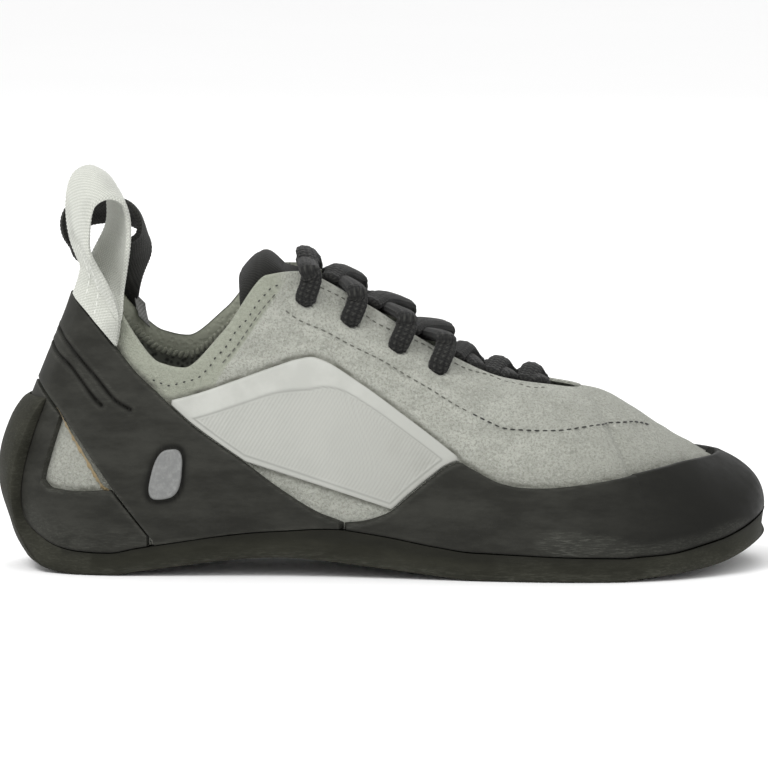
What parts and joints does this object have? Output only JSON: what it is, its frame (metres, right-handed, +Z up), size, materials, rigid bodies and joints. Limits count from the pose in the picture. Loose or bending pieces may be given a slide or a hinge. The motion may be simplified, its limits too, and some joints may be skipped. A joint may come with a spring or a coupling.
{
  "type": "climbing shoe",
  "caption": "Laced rock climbing shoe for the right foot, with a hollow suede upper, rubber rands, a thin rubber sole, a padded tongue and heel pull loops.",
  "frame": {"origin": "the middle of the shoe's box, on the ground", "axes": "+X from the heel to the toe, -Y the outer side of the foot, +Z up"},
  "size_m": [0.2494, 0.0884, 0.1307],
  "materials": {
    "outsole": "matt dark climbing rubber",
    "insole": "grey-green lasting board",
    "upper": "light grey suede",
    "heel_rand": "satin dark rubber",
    "heel_sling": "satin dark rubber with two grooves",
    "toe_rand": "satin dark rubber, buffed at the toe",
    "side_panel_lateral": "smooth light grey, embossed field",
    "side_panel_medial": "smooth light grey, embossed field",
    "tongue": "black padded cloth",
    "lace_row_1": "black round woven lace",
    "lace_row_2": "black round woven lace",
    "lace_row_3": "black round woven lace",
    "lace_row_4": "black round woven lace",
    "lace_row_5": "black round woven lace",
    "lace_row_6": "black round woven lace",
    "lace_row_7": "black round woven lace",
    "pull_loop_light": "light ribbed webbing",
    "pull_loop_dark": "dark ribbed webbing",
    "heel_badge": "plain grey plate"
  },
  "bodies": {
    "root": {"outsole": "outsole", "insole": "insole", "upper": "upper", "heel_rand": "heel_rand", "heel_sling": "heel_sling", "toe_rand": "toe_rand", "side_panel_lateral": "side_panel_lateral", "side_panel_medial": "side_panel_medial", "tongue": "tongue", "lace_row_1": "lace_row_1", "lace_row_2": "lace_row_2", "lace_row_3": "lace_row_3", "lace_row_4": "lace_row_4", "lace_row_5": "lace_row_5", "lace_row_6": "lace_row_6", "lace_row_7": "lace_row_7", "pull_loop_light": "pull_loop_light", "pull_loop_dark": "pull_loop_dark", "heel_badge": "heel_badge"}
  },
  "joints": []
}
